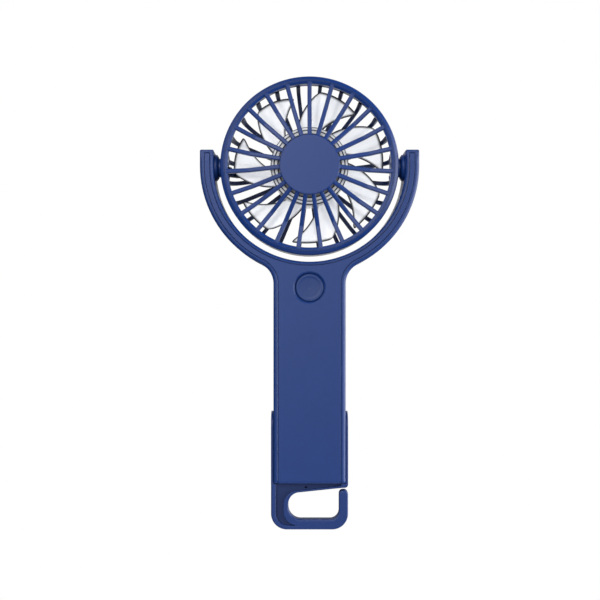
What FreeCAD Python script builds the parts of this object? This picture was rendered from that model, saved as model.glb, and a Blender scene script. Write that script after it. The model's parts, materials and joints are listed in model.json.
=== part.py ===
import FreeCAD, Part
import math
import os

# Hand-held electric fan: caged head tilting in a yoke, slim handle, hook bracket that swings back as a stand.
# Millimetres. +Z up, the air leaves towards -Y, +X to the right seen from the front.
# The origin is the middle of the grip, on the handle's centre line and at half its depth.

V = FreeCAD.Vector

# ---------- driving dimensions ----------
PIVOT_Z = 100.0            # height of the head's tilt axis above the grip centre
HALF_DEPTH = 8.5           # handle and yoke are 17 mm deep
YOKE_OUT_R = 50.4          # outside of the yoke
YOKE_IN_R = 44.1           # inside of the yoke
ARM_TOP = 7.4              # arm ends above the tilt axis
HANDLE_HALF_W = 16.6
HANDLE_BOTTOM = -46.0
NECK_R = 10.0              # concave fillet between yoke and handle
RIM = 2.1                  # visible rim of the rear shell around the cover, outside edge
RIM_IN = 1.6               # the same on the inside of the yoke
GROOVE = 0.2               # open seam between cover and rim
EDGE_R = 1.7               # rounding of all long edges, front and back
COVER_T = 1.6
WALL = 3.0                 # side wall of the handle, cover ledge included
FOOT_T = 1.8               # bottom wall of the handle
BACK_T = 1.6
LEDGE_Y = -HALF_DEPTH + COVER_T
BACK_Y = HALF_DEPTH - BACK_T
CAVITY_HALF_W = HANDLE_HALF_W - WALL
LEAD_R = 0.55
LEAD_RING_R = 47.2         # the lead runs down the arm on this radius
FAR = 60.0                 # half size of a cutting block that reaches past everything
OVER = 1.0                 # how far a cutting tool runs past the face it cuts

HINGE_Z = -20.0            # hook bracket hinge
EAR_IN = 16.75             # inner faces of the ears, 0.15 mm off the handle
EAR_OUT = 17.75
EAR_R = 6.5                # rounded ear ends, concentric with the hinge
WEB_TOP = -46.3            # 0.3 mm below the handle's foot
WEB_T = 1.8
HINGE_PIN_R = 1.5
HOOK_BOTTOM = -67.4
HOOK_FRONT = -6.5
HOOK_T = 4.6               # thickness of the hook loop
HOOK_EDGE_R = 0.7
POCKET_DEPTH = 1.3

RING_R = 41.1              # head ring, outside
OPENING_R = 37.6           # head ring, opening
LIP_R = 39.1               # crease between the ring's outer cone and its inner chamfer
RING_FRONT = -8.2
RING_CHAMFER_BACK = -5.9   # back of the grille's rim, under the inner chamfer
RING_BACK = 4.6
RING_BORE_R = 39.9         # the ring's bore widens backwards to this radius
RING_BORE_Y = 1.2
LAP_R = 40.6               # the rear cage laps over the ring's back end from this radius outwards
LAP_DEPTH = 1.3
SLIP = 0.05                # gap on each side of two parts that slip together
LUG_R = 6.4                # round lugs in the ring that seat the trunnions
TRUNNION_FLANGE_R = 5.4
TRUNNION_BOSS_R = 4.4
TRUNNION_SEAT_X = 38.7     # the flange bears on the lug here
HUB_R = 13.7
HUB_FRONT = -11.3
HUB_T = 2.0
SPOKES = 23
SPOKE_W = 1.95
SPOKE_T = 2.0
VALLEY_R = 28.0            # the spokes bend here
VALLEY_Y = -6.7
REAR_END = 20.6            # rearmost plane of the head
REAR_SPLIT = 16.5          # the cage's bars end and the rear grille starts on this plane
REAR_RIBS = 24
REAR_RIB_W = 1.8
REAR_RIB_T = 2.0
REAR_HUB_R = 15.0
CHANNEL_HALF_W = 1.8       # the wide rib that carries the motor lead
CHANNEL_FRONT = 16.2

BLADES = 7
BLADE_TIP_R = 35.2
IMPELLER_HUB_R = 18.0
SHAFT_R = 1.5
RUNNING = 0.02             # radial clearance of shaft in bearings
PIN_R = 3.0                # trunnion pins
PIN_CLEAR = 0.05
BUSH_R = 4.0               # bushes in the arms, outside
BUSH_FLANGE_R = 6.1
CLIP_GROOVE_R = 2.6        # floor of the trunnion's clip groove
CLIP_GROOVE = (46.05, 46.65)

TUBE_R = 5.0               # bearing tube, outside
TUBE_SEAT_R = 4.0          # bearing seats at both ends of the tube
BEARING_W = 3.0
FRONT_BEARING = -2.4       # front faces of the two bearings
REAR_BEARING = 11.2
STATOR_TEETH = 9
STATOR_FRONT = -2.0
STATOR_BACK = 3.5
TOOTH_HALF_W = 1.1
MOTOR_BOARD_BACK = 11.2
CUP_FRONT = -6.0           # rotor cup, glued into the impeller's hub
CUP_R = 16.0
CUP_IN_R = 15.3
SHAFT_CLIP_Y = (14.6, 15.1)
SHAFT_CLIP_R = 1.2

BUTTON_Z = 44.0
BUTTON_R = 6.3
BUTTON_GAP = 0.2
BUTTON_DISH_R = 5.3
BUTTON_RECESS_R = 7.45
BUTTON_FLANGE_Y = -6.8     # the cap's flange rests under the cover

BATTERY_TOP = 19.4
BATTERY_BACK = 4.4

BOARD_BACK = -0.55         # rear face of the main board
BOARD_T = 1.2
BOARD_FRONT = BOARD_BACK - BOARD_T
USB_AT = (BOARD_BACK + 1.6, 33.0)
SCREW_SPOTS = [(-10.6, 22.6), (10.6, 22.6), (-10.6, -41.0), (10.6, -41.0)]
POST_SPOTS = [(-11.2, 27.0), (11.2, 27.0), (-11.2, 40.0), (11.2, 48.0)]
SCREW_R = 1.0
SCREW_HEAD_R = 1.9
SCREW_HEAD_FRONT = 6.4
SCREW_HEAD_BACK = 7.7


# ---------- helpers ----------
def box(x0, x1, y0, y1, z0, z1):
    return Part.makeBox(x1 - x0, y1 - y0, z1 - z0, V(x0, y0, z0))


def rod(r, a, b):
    """Cylinder of radius r from point a to point b."""
    axis = b - a
    return Part.makeCylinder(r, axis.Length, a, axis)


def rod_x(r, x0, x1, y=0.0, z=PIVOT_Z):
    return rod(r, V(x0, y, z), V(x1, y, z))


def rod_y(r, y0, y1, x=0.0, z=PIVOT_Z):
    return rod(r, V(x, y0, z), V(x, y1, z))


def turned(profile):
    """Solid of revolution about the spin axis from (radius, y) points."""
    pts = [V(r, y, PIVOT_Z) for r, y in profile]
    wire = Part.makePolygon(pts + [pts[0]])
    return Part.Face(wire).revolve(V(0, 0, PIVOT_Z), V(0, 1, 0), 360)


def turned_x(profile):
    """Solid of revolution about the tilt axis from (x, radius) points."""
    pts = [V(x, 0, PIVOT_Z + r) for x, r in profile]
    wire = Part.makePolygon(pts + [pts[0]])
    return Part.Face(wire).revolve(V(0, 0, PIVOT_Z), V(1, 0, 0), 360)


def arc(centre, r, a0, a1):
    """Arc in the XZ plane from angle a0 to a1 (degrees, anticlockwise from +X)."""
    angles = [math.radians(a) for a in (a0, (a0 + a1) / 2, a1)]
    pts = [centre + V(r * math.cos(a), 0, r * math.sin(a)) for a in angles]
    return Part.Arc(*pts).toShape()


def line(a, b):
    return Part.LineSegment(a, b).toShape()


def at_y(wire, y):
    moved = wire.copy()
    moved.translate(V(0, y, 0))
    return moved


def slab(wire, y0, y1):
    """The wire's face, drawn at y = 0, extruded from y0 to y1."""
    return Part.Face(at_y(wire, y0)).extrude(V(0, y1 - y0, 0))


def capsule(r, half, x0, x1):
    """Pieces of a bar with round ends along X, in line with the charging socket."""
    usb_y, usb_z = USB_AT
    ends = [rod_x(r, x0, x1, usb_y, usb_z + dz * half) for dz in (-1, 1)]
    return [box(x0, x1, usb_y - r, usb_y + r, usb_z - half, usb_z + half)] + ends


def mirrored_x(shape):
    return shape.mirror(V(0, 0, 0), V(1, 0, 0))


def around(shape, count, start=0.0):
    """Copies of shape turned about the spin axis."""
    copies = []
    for k in range(count):
        one = shape.copy()
        one.rotate(V(0, 0, PIVOT_Z), V(0, 1, 0), start + 360.0 * k / count)
        copies.append(one)
    return copies


def bent(points, radii):
    """Wire of straight runs through the points, with a tangent arc at each inner point."""
    edges = []
    last = points[0]
    for k in range(1, len(points) - 1):
        before = (points[k - 1] - points[k]).normalize()
        after = (points[k + 1] - points[k]).normalize()
        turn = math.pi - before.getAngle(after)
        cut = radii[k - 1] * math.tan(turn / 2)
        a = points[k] + before * cut
        b = points[k] + after * cut
        bisector = (before + after).normalize()
        mid = points[k] + bisector * (radii[k - 1] / math.cos(turn / 2) - radii[k - 1])
        edges.append(line(last, a))
        edges.append(Part.Arc(a, mid, b).toShape())
        last = b
    edges.append(line(last, points[-1]))
    return Part.Wire(edges)


def tube_along(wire, r):
    """Round lead of radius r along a wire that starts with a straight run."""
    start = wire.Edges[0].Vertexes[0].Point
    tangent = wire.Edges[0].tangentAt(wire.Edges[0].FirstParameter)
    circle = Part.Wire(Part.makeCircle(r, start, tangent))
    return wire.makePipeShell([circle], True, True)


def edges_where(shape, test):
    return [e for e in shape.Edges if test(e)]


# ---------- outline shared by the rear shell and the cover ----------
def outline(out, inner, foot_in):
    """Yoke and handle outline, moved inwards by out (outside), inner (yoke's inside) and foot_in (bottom)."""
    o = V(0, 0, PIVOT_Z)
    r_out = YOKE_OUT_R - out
    r_in = YOKE_IN_R + inner
    top = PIVOT_Z + ARM_TOP - min(out, inner)
    half = HANDLE_HALF_W - out
    foot = HANDLE_BOTTOM + foot_in
    neck = NECK_R + out
    neck_x = HANDLE_HALF_W + NECK_R
    neck_dz = math.sqrt((YOKE_OUT_R + NECK_R) ** 2 - neck_x ** 2)
    neck_c = V(neck_x, 0, PIVOT_Z - neck_dz)
    meet = math.degrees(math.atan2(-neck_dz, neck_x))
    left_c = V(-neck_x, 0, neck_c.z)
    edges = [
        line(V(r_out, 0, top), V(r_out, 0, PIVOT_Z)),
        arc(o, r_out, 0, meet),
        arc(neck_c, neck, 180 + meet, 180),
        line(V(half, 0, neck_c.z), V(half, 0, foot)),
        line(V(half, 0, foot), V(-half, 0, foot)),
        line(V(-half, 0, foot), V(-half, 0, neck_c.z)),
        arc(left_c, neck, 0, -meet),
        arc(o, r_out, 180 - meet, 180),
        line(V(-r_out, 0, PIVOT_Z), V(-r_out, 0, top)),
        line(V(-r_out, 0, top), V(-r_in, 0, top)),
        line(V(-r_in, 0, top), V(-r_in, 0, PIVOT_Z)),
        arc(o, r_in, 180, 360),
        line(V(r_in, 0, PIVOT_Z), V(r_in, 0, top)),
        line(V(r_in, 0, top), V(r_out, 0, top)),
    ]
    return Part.Wire(edges)


def yoke_blank():
    """The handle and yoke as one closed block with its rounded edges."""
    block = slab(outline(0, 0, 0), -HALF_DEPTH, HALF_DEPTH)
    end_edge_r = 0.6

    def upright_at_an_end(e):
        at_end = e.BoundBox.ZMin > PIVOT_Z + 1 or e.BoundBox.ZMax < HANDLE_BOTTOM + 1
        return e.BoundBox.YLength > HALF_DEPTH and at_end

    block = block.makeFillet(end_edge_r, edges_where(block, upright_at_an_end))
    return block.makeFillet(EDGE_R, edges_where(block, lambda e: e.BoundBox.YLength < 0.01))


def foot_sweep():
    """Rear lower corner of the handle, taken off so the bracket's web can pass behind it."""
    wide = 2 * HANDLE_HALF_W
    corner = box(-wide, wide, 0, wide, HANDLE_BOTTOM - OVER, HINGE_Z)
    return corner.cut(rod_x(HINGE_Z - HANDLE_BOTTOM, -wide, wide, 0, HINGE_Z))


def arm_end_wedge():
    """Shallow slope on the front face of both arm ends."""
    low = PIVOT_Z + 2.3
    high = PIVOT_Z + ARM_TOP + OVER
    slope_depth = 1.0
    front = -HALF_DEPTH
    pts = [V(-FAR, front - 0.01, low), V(-FAR, front - OVER, high), V(-FAR, front + slope_depth, high)]
    return Part.Face(Part.makePolygon(pts + [pts[0]])).extrude(V(2 * FAR, 0, 0))


# ---------- handle ----------
def lead_channel():
    """Groove down the arms for the motor lead, wider at the bottom so that the lead stays in."""
    floor = 2.0
    mouth, undercut, undercut_front = 0.9, 1.3, -1.2
    rings = []
    for half, front in ((mouth, LEDGE_Y), (undercut, undercut_front)):
        rings.append(rod_y(LEAD_RING_R + half, front, floor).cut(rod_y(LEAD_RING_R - half, front, floor)))
    return rings[0].fuse(rings[1]).common(box(-FAR, FAR, LEDGE_Y, floor, 0, PIVOT_Z))


def pivot_hollows(side):
    """Room in one arm for the trunnion's end, its clip and its bush."""
    clip_room, clip_back = 5.2, 5.2
    near, far = 45.7, 48.7
    x0, x1 = sorted((side * near, side * far))
    flange_room_r, flange_t = BUSH_FLANGE_R + 0.15, 2.1
    return [
        box(x0, x1, LEDGE_Y, clip_back, PIVOT_Z - clip_room, PIVOT_Z + clip_room),
        rod_x(BUSH_R, side * (YOKE_IN_R - OVER), side * (near + OVER)),
        rod_x(flange_room_r, side * (YOKE_IN_R - flange_t), side * YOKE_IN_R),
    ]


def usb_mouth():
    """Slot in the right wall for the charging plug, with round ends."""
    half_w, half_l = 1.8, 2.9
    return capsule(half_w, half_l, CAVITY_HALF_W - OVER, HANDLE_HALF_W + OVER)


def rear_shell():
    shell = yoke_blank().cut([foot_sweep(), arm_end_wedge()])
    throat = PIVOT_Z - 30.0
    yoke_wall_r = YOKE_IN_R + 2.2
    cavity = box(-CAVITY_HALF_W, CAVITY_HALF_W, LEDGE_Y, BACK_Y, HANDLE_BOTTOM + FOOT_T, throat)
    cavity = cavity.cut(rod_y(yoke_wall_r, LEDGE_Y - OVER, BACK_Y + OVER))
    cover_seat = slab(outline(RIM, RIM_IN, -OVER), -HALF_DEPTH - OVER, LEDGE_Y)
    hollows = [cover_seat, cavity, lead_channel()] + usb_mouth()
    for side in (-1, 1):
        hollows += pivot_hollows(side)
        pin_from, pin_to = side * (CAVITY_HALF_W - OVER), side * (HANDLE_HALF_W + OVER)
        hollows.append(rod_x(HINGE_PIN_R, pin_from, pin_to, 0, HINGE_Z))
    shell = shell.cut(hollows)
    boss_r, boss_front, post_r, root = 3.0, 3.0, 1.2, 0.1
    adds = [rod_y(boss_r, boss_front, BACK_Y + root, x, z) for x, z in SCREW_SPOTS]
    adds += [rod_y(post_r, BOARD_BACK, BACK_Y + root, x, z) for x, z in POST_SPOTS]
    shell = shell.fuse(adds)
    drill_r, sink_r = SCREW_R + 0.15, SCREW_HEAD_R + 0.2
    drills = [rod_y(drill_r, boss_front - OVER, BACK_Y, x, z) for x, z in SCREW_SPOTS]
    drills += [rod_y(sink_r, SCREW_HEAD_FRONT, HALF_DEPTH + OVER, x, z) for x, z in SCREW_SPOTS]
    return shell.cut(drills).removeSplitter()


def front_cover():
    front = -HALF_DEPTH
    plate = slab(outline(RIM + GROOVE, RIM_IN + GROOVE, 0), front, LEDGE_Y)

    def foot_edge(e):
        return e.BoundBox.ZMax < HANDLE_BOTTOM + 0.01 and e.BoundBox.YMax < front + 0.01

    plate = plate.makeFillet(COVER_T - 0.3, edges_where(plate, foot_edge))
    boss_r, boss_back = 2.2, 2.9
    plate = plate.fuse([rod_y(boss_r, LEDGE_Y - 0.1, boss_back, x, z) for x, z in SCREW_SPOTS])
    hole_r = BUTTON_R + BUTTON_GAP
    recess_depth = 0.7
    recess = Part.makeCone(BUTTON_RECESS_R, hole_r, recess_depth, V(0, front, BUTTON_Z), V(0, 1, 0))
    cuts = [recess, rod_y(hole_r, front - OVER, LEDGE_Y + OVER, 0, BUTTON_Z), arm_end_wedge()]
    pilot_front = -1.2
    cuts += [rod_y(SCREW_R, pilot_front, boss_back + OVER, x, z) for x, z in SCREW_SPOTS]
    return plate.cut(cuts)


def shell_screws():
    slot_half, slot_reach, slot_floor = 0.25, 1.2, 7.1
    tip = -1.0
    screws = []
    for x, z in SCREW_SPOTS:
        head = rod_y(SCREW_HEAD_R, SCREW_HEAD_FRONT, SCREW_HEAD_BACK, x, z)
        for wide, tall in ((slot_reach, slot_half), (slot_half, slot_reach)):
            head = head.cut(box(x - wide, x + wide, slot_floor, HALF_DEPTH, z - tall, z + tall))
        screws.append(head.fuse(rod_y(SCREW_R, tip, SCREW_HEAD_FRONT, x, z)))
    return Part.makeCompound(screws)


def pivot_bushes():
    """Flanged bushes in the arms, which the trunnions turn in."""
    bore = PIN_R + PIN_CLEAR
    nose_x, flange_x, end_x = 42.25, 43.0, 45.9
    nose_r = 5.0
    right = turned_x([
        (nose_x, bore), (nose_x, nose_r), (flange_x, BUSH_FLANGE_R), (YOKE_IN_R, BUSH_FLANGE_R), (YOKE_IN_R, BUSH_R),
        (end_x, BUSH_R), (end_x, bore),
    ])
    return Part.makeCompound([right, mirrored_x(right)])


def battery():
    half_w, front, foot, corner_r = 12.5, -5.6, -37.8, 1.5
    cell = box(-half_w, half_w, front, BATTERY_BACK, foot, BATTERY_TOP)
    return cell.makeFillet(corner_r, edges_where(cell, lambda e: e.BoundBox.ZLength > BATTERY_TOP))


def battery_pad():
    half_w, foot, top = 11.0, -34.0, 15.0
    return box(-half_w, half_w, BATTERY_BACK, BACK_Y, foot, top)


def battery_leads():
    """Two leads from the cell's end to pads on the board's back."""
    end_y, pad_z, bend_r, lead_r = 2.0, 27.0, 1.6, 0.5
    leads = []
    for x in (-5.2, -3.4):
        path = [V(x, end_y, BATTERY_TOP), V(x, end_y, pad_z), V(x, BOARD_BACK, pad_z)]
        leads.append(tube_along(bent(path, [bend_r]), lead_r))
    return Part.makeCompound(leads)


def main_board():
    half_w, foot, top = 12.6, 25.0, 50.5
    return box(-half_w, half_w, BOARD_FRONT, BOARD_BACK, foot, top)


def board_chips():
    """Parts on the board's back, each given as (x, z, side, height)."""
    blocks = [(-5.0, 36.0, 5.0, 1.0), (1.5, 46.0, 4.0, 0.9), (-8.6, 30.5, 3.0, 0.9), (1.5, 28.6, 5.0, 3.0)]
    made = []
    for x, z, side, tall in blocks:
        half = side / 2
        made.append(box(x - half, x + half, BOARD_BACK, BOARD_BACK + tall, z - half, z + half))
    return Part.makeCompound(made)


def tact_switch():
    """Switch body with the well that its plunger slides in."""
    half, tall, well_r, well_depth = 3.0, 3.5, 1.8, 1.9
    front = BOARD_FRONT - tall
    body = box(-half, half, front, BOARD_FRONT, BUTTON_Z - half, BUTTON_Z + half)
    return body.cut(rod_y(well_r, front - OVER, front + well_depth, 0, BUTTON_Z))


def usb_c_socket():
    """Shell of the charging socket, with the tongue inside its mouth."""
    usb_y, usb_z = USB_AT
    out_r, out_half, mouth_r, mouth_half = 1.6, 2.87, 1.28, 2.89
    back, floor, front = 8.6, 9.4, 15.9
    tongue_end, tongue_half_t, tongue_half_w = 14.9, 0.35, 3.3
    outside = capsule(out_r, out_half, back, front)
    shell = outside[0].fuse(outside[1:]).cut(capsule(mouth_r, mouth_half, floor, front + OVER))
    z0, z1 = usb_z - tongue_half_w, usb_z + tongue_half_w
    tongue = box(floor - 0.1, tongue_end, usb_y - tongue_half_t, usb_y + tongue_half_t, z0, z1)
    return shell.fuse(tongue).removeSplitter()


def charge_led():
    half_w, half_l, tall, z = 0.8, 0.4, 0.7, 39.0
    return box(-half_w, half_w, BOARD_FRONT - tall, BOARD_FRONT, z - half_l, z + half_l)


def motor_lead_yoke():
    """Lead from the left trunnion down the arm to the board, on a ring about the spin axis."""
    start_x, turn_x, step = -47.1, -47.95, 16.0
    corner_r = LEAD_RING_R / math.cos(math.radians(step / 2))
    pts = [V(start_x, 0, PIVOT_Z), V(turn_x, 0, PIVOT_Z)]
    for k in range(4):
        angle = math.radians(186.72 + step * k)
        pts.append(V(corner_r * math.cos(angle), 0, PIVOT_Z + corner_r * math.sin(angle)))
    pts += [V(-12.4, 0, 54.6), V(-8.6, 0, BUTTON_Z)]
    bend_radii = [0.7, 40.0, 20.0, 40.0, 40.0, 3.0]
    return tube_along(bent(pts, bend_radii), LEAD_R)


def stand_pins():
    """Headed pins in the handle's sides, which the bracket's ears turn on."""
    shoulder_x, end_x, head_r = 17.2, 17.7, 2.4
    shank = rod_x(HINGE_PIN_R, CAVITY_HALF_W, shoulder_x, 0, HINGE_Z)
    right = shank.fuse(rod_x(head_r, shoulder_x, end_x, 0, HINGE_Z))
    return Part.makeCompound([right, mirrored_x(right)])


# ---------- button ----------
def power_button():
    """Round cap, slightly dished, with a flange that keeps it under the cover."""
    face, edge = -HALF_DEPTH, 0.25
    dish_floor_r, dish_middle, dish_floor = BUTTON_DISH_R - 0.9, face + 0.35, face + 0.2
    flange_r, flange_back, nub_r, nub_back = 7.4, -6.1, 2.0, -5.85
    cap = turned([
        (0, dish_middle), (dish_floor_r, dish_floor), (BUTTON_DISH_R, face), (BUTTON_R - edge, face),
        (BUTTON_R, face + edge), (BUTTON_R, BUTTON_FLANGE_Y), (flange_r, BUTTON_FLANGE_Y), (flange_r, flange_back),
        (nub_r, flange_back), (nub_r, nub_back), (0, nub_back),
    ])
    cap.translate(V(0, 0, BUTTON_Z - PIVOT_Z))
    return cap


def switch_plunger():
    plunger_r, front, back = 1.7, -5.8, -4.4
    return rod_y(plunger_r, front, back, 0, BUTTON_Z)


# ---------- head ----------
def spoke():
    """One bent spoke of the front grille, pointing up."""
    root_r, end_r = HUB_R - 0.8, LIP_R - 0.8
    root_y, end_y = HUB_FRONT + 0.4, RING_FRONT + 0.25
    edge_chamfer = 0.3
    front = [(root_r, root_y), (VALLEY_R, VALLEY_Y), (end_r, end_y)]
    back = [(r, y + SPOKE_T) for r, y in reversed(front)]
    pts = [V(-SPOKE_W / 2, y, PIVOT_Z + r) for r, y in front + back]
    bar = Part.Face(Part.makePolygon(pts + [pts[0]])).extrude(V(SPOKE_W, 0, 0))

    def front_long(e):
        mid = e.valueAt((e.FirstParameter + e.LastParameter) / 2)
        return e.BoundBox.ZLength > SPOKE_T and mid.y < VALLEY_Y - 0.3 and e.BoundBox.XLength < 0.01

    return bar.makeChamfer(edge_chamfer, edges_where(bar, front_long))


def front_grille():
    """Hub disc, spokes and a thin rim whose front is the chamfer inside the ring."""
    lip_t = 0.8
    rim = turned([
        (LIP_R - SLIP, RING_FRONT), (LIP_R - SLIP, RING_CHAMFER_BACK), (OPENING_R, RING_CHAMFER_BACK),
        (OPENING_R, RING_FRONT + lip_t),
    ])
    hub_edge_r = 0.35
    hub = rod_y(HUB_R, HUB_FRONT, HUB_FRONT + HUB_T)
    hub = hub.makeFillet(hub_edge_r, edges_where(hub, lambda e: e.BoundBox.YMax < HUB_FRONT + 0.1))
    return rim.fuse(around(spoke(), SPOKES) + [hub])


def head_ring():
    """Ring that carries the head: the grille sits in its front, the trunnions sit in lugs at its sides."""
    cone_back = RING_FRONT + 1.1
    lap = RING_BACK - LAP_DEPTH
    ring = turned([
        (RING_R, cone_back), (RING_R, lap), (LAP_R - SLIP, lap), (LAP_R - SLIP, RING_BACK), (RING_BORE_R, RING_BACK),
        (RING_BORE_R, RING_BORE_Y), (OPENING_R + 0.3, RING_CHAMFER_BACK + SLIP), (LIP_R, RING_CHAMFER_BACK + SLIP),
        (LIP_R, RING_FRONT),
    ])

    def outer_front(e):
        return abs(e.BoundBox.YMin - cone_back) < 0.01 and e.BoundBox.YLength < 0.01

    front_edge_r = 0.9
    ring = ring.makeFillet(front_edge_r, edges_where(ring, outer_front))
    inside = rod_y(RING_R - 0.1, RING_CHAMFER_BACK + SLIP, RING_BACK)
    lugs = [rod_x(LUG_R, side * OPENING_R, side * (RING_R - 0.8)).common(inside) for side in (-1, 1)]
    ring = ring.fuse(lugs)
    for side in (-1, 1):
        boss_hole = rod_x(TRUNNION_BOSS_R, side * (OPENING_R - OVER), side * (RING_R + OVER))
        pocket = rod_x(TRUNNION_FLANGE_R + 0.1, side * (OPENING_R - OVER), side * TRUNNION_SEAT_X)
        ring = ring.cut([boss_hole, pocket])
    return ring.removeSplitter()


def basket_rib(half_w, thick):
    """One rib of the rear cage, pointing up: along the side, round the corner and in to the hub."""
    root_r, start_y = REAR_HUB_R - 2.0, RING_BACK + 0.4
    side_r, end_r = RING_R, RING_R - 1.2
    corner_r = 8.5

    def corner(r, y):
        return V(-half_w, y, PIVOT_Z + r)

    outer = bent([corner(side_r, start_y), corner(end_r, REAR_END), corner(root_r, REAR_END)], [corner_r])
    inner = bent([corner(root_r, REAR_END - REAR_RIB_T), corner(end_r - thick, REAR_END - REAR_RIB_T),
                  corner(side_r - thick, start_y)], [corner_r - thick])
    ends = [line(outer.Vertexes[-1].Point, inner.Vertexes[0].Point)]
    ends.append(line(inner.Vertexes[-1].Point, outer.Vertexes[0].Point))
    wire = Part.Wire(Part.__sortEdges__(outer.Edges + inner.Edges + ends))
    return Part.Face(wire).extrude(V(2 * half_w, 0, 0))


def basket_ribs():
    """The ribs all round, with the wide one for the lead at -X."""
    thick = 1.9
    ribs = around(basket_rib(REAR_RIB_W / 2, thick), REAR_RIBS, 180.0 / REAR_RIBS)
    return ribs + around(basket_rib(CHANNEL_HALF_W, thick), 1, -90.0)


def behind_split():
    return box(-FAR, FAR, REAR_SPLIT, FAR, PIVOT_Z - FAR, PIVOT_Z + FAR)


def rear_cage():
    """Rim that laps over the ring, and the side bars behind it."""
    lap = RING_BACK - LAP_DEPTH + 0.1
    rim_back = RING_BACK + 1.4
    rim = turned([
        (RING_R, lap), (LAP_R + SLIP, lap), (LAP_R + SLIP, RING_BACK + 0.1), (RING_BORE_R, RING_BACK + 0.1),
        (RING_BORE_R, rim_back), (RING_R, rim_back),
    ])
    cage = rim.fuse(basket_ribs()).cut(behind_split())
    clear_r = TRUNNION_BOSS_R + 0.1
    return cage.cut([rod_x(clear_r, side * TRUNNION_SEAT_X, side * (RING_R + OVER)) for side in (-1, 1)])


def rear_grille():
    """End of the basket: the ribs' corners and inner runs, the hub with the tube's seat, and the lead's channel."""
    rib_back = REAR_END - REAR_RIB_T
    seat_front, seat_out_r, edge = 15.6, 7.0, 0.5
    hub = turned([
        (0, rib_back), (TUBE_R, rib_back), (TUBE_R, seat_front), (seat_out_r, seat_front), (seat_out_r, rib_back),
        (REAR_HUB_R, rib_back), (REAR_HUB_R, REAR_END - edge), (REAR_HUB_R - edge, REAR_END), (0, REAR_END),
    ])
    half, far_x, near_x = CHANNEL_HALF_W, -36.0, -REAR_HUB_R + 1.5
    channel = box(far_x, near_x, CHANNEL_FRONT, REAR_END, PIVOT_Z - half, PIVOT_Z + half)
    ribs = [rib.common(behind_split()) for rib in basket_ribs()]
    groove_half, groove_back = 0.75, 18.0
    z0, z1 = PIVOT_Z - groove_half, PIVOT_Z + groove_half
    groove = box(far_x - 0.4, near_x + 0.5, CHANNEL_FRONT - OVER, groove_back, z0, z1)
    return hub.fuse(ribs + [channel.common(behind_split())]).cut(groove)


def trunnion(bore):
    """Pin that the head tilts on, seated from inside in the ring's lug; its groove takes the clip."""
    inner, boss_end, end = TRUNNION_SEAT_X - 0.8, RING_R + 1.0, 47.0
    groove_in, groove_out = CLIP_GROOVE
    return turned_x([
        (inner, bore), (inner, TRUNNION_FLANGE_R), (TRUNNION_SEAT_X, TRUNNION_FLANGE_R),
        (TRUNNION_SEAT_X, TRUNNION_BOSS_R), (boss_end, TRUNNION_BOSS_R), (boss_end, PIN_R), (groove_in, PIN_R),
        (groove_in, CLIP_GROOVE_R), (groove_out, CLIP_GROOVE_R), (groove_out, PIN_R), (end, PIN_R), (end, bore),
    ])


def trunnion_clips():
    """Open rings in the trunnions' grooves, which hold the head between the arms."""
    clip_r, gap, mouth_half = 4.2, 0.01, 1.2
    inner, outer = CLIP_GROOVE[0] + gap, CLIP_GROOVE[1] - gap
    right = rod_x(clip_r, inner, outer).cut(rod_x(CLIP_GROOVE_R, inner - OVER, outer + OVER))
    right = right.cut(box(inner - OVER, outer + OVER, -mouth_half, mouth_half, PIVOT_Z - clip_r - OVER, PIVOT_Z))
    return Part.makeCompound([right, mirrored_x(right)])


def bearing_tube():
    """Tube that carries the stator outside and a bearing in each end."""
    front, back, bore_r = -2.6, 18.6, 3.2
    front_seat = FRONT_BEARING + BEARING_W
    return turned([
        (TUBE_SEAT_R, front), (TUBE_R, front), (TUBE_R, back), (TUBE_SEAT_R, back), (TUBE_SEAT_R, REAR_BEARING),
        (bore_r, REAR_BEARING), (bore_r, front_seat), (TUBE_SEAT_R, front_seat),
    ])


def bearing(y0):
    """Shielded bearing: inner and outer rings with the shields sunk between them."""
    y1 = y0 + BEARING_W
    bore, inner_r, outer_r, sunk = SHAFT_R + RUNNING, 2.2, 3.3, 0.2
    return turned([
        (bore, y0), (inner_r, y0), (inner_r, y0 + sunk), (outer_r, y0 + sunk), (outer_r, y0), (TUBE_SEAT_R, y0),
        (TUBE_SEAT_R, y1), (outer_r, y1), (outer_r, y1 - sunk), (inner_r, y1 - sunk), (inner_r, y1), (bore, y1),
    ])


def stator_core():
    """Laminated core: a hub, the teeth, and the rim they end in, open between teeth."""
    hub_r, rim_in_r, rim_r, slot_half_w = 6.6, 12.0, 13.2, 0.7
    front, back = STATOR_FRONT - OVER, STATOR_BACK + OVER
    tooth = box(-TOOTH_HALF_W, TOOTH_HALF_W, STATOR_FRONT, STATOR_BACK, PIVOT_Z + hub_r - 0.6, PIVOT_Z + rim_in_r + 0.2)
    slot = box(-slot_half_w, slot_half_w, front, back, PIVOT_Z + rim_in_r - OVER, PIVOT_Z + rim_r + OVER)
    rim = rod_y(rim_r, STATOR_FRONT, STATOR_BACK).cut(rod_y(rim_in_r, front, back))
    rim = rim.cut(around(slot, STATOR_TEETH, 180.0 / STATOR_TEETH))
    core = rod_y(hub_r, STATOR_FRONT, STATOR_BACK).fuse(around(tooth, STATOR_TEETH) + [rim])
    return core.cut(rod_y(TUBE_R, front, back)).removeSplitter()


def stator_coils():
    """A winding round each tooth."""
    half_w, front, back, foot, top, corner_r = 2.2, -3.2, 4.7, 7.4, 11.6, 0.9
    outside = box(-half_w, half_w, front, back, PIVOT_Z + foot, PIVOT_Z + top)
    outside = outside.makeFillet(corner_r, edges_where(outside, lambda e: e.BoundBox.ZLength > half_w))
    z0, z1 = PIVOT_Z + foot - OVER, PIVOT_Z + top + OVER
    coil = outside.cut(box(-TOOTH_HALF_W, TOOTH_HALF_W, STATOR_FRONT, STATOR_BACK, z0, z1))
    return Part.makeCompound(around(coil, STATOR_TEETH))


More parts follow.
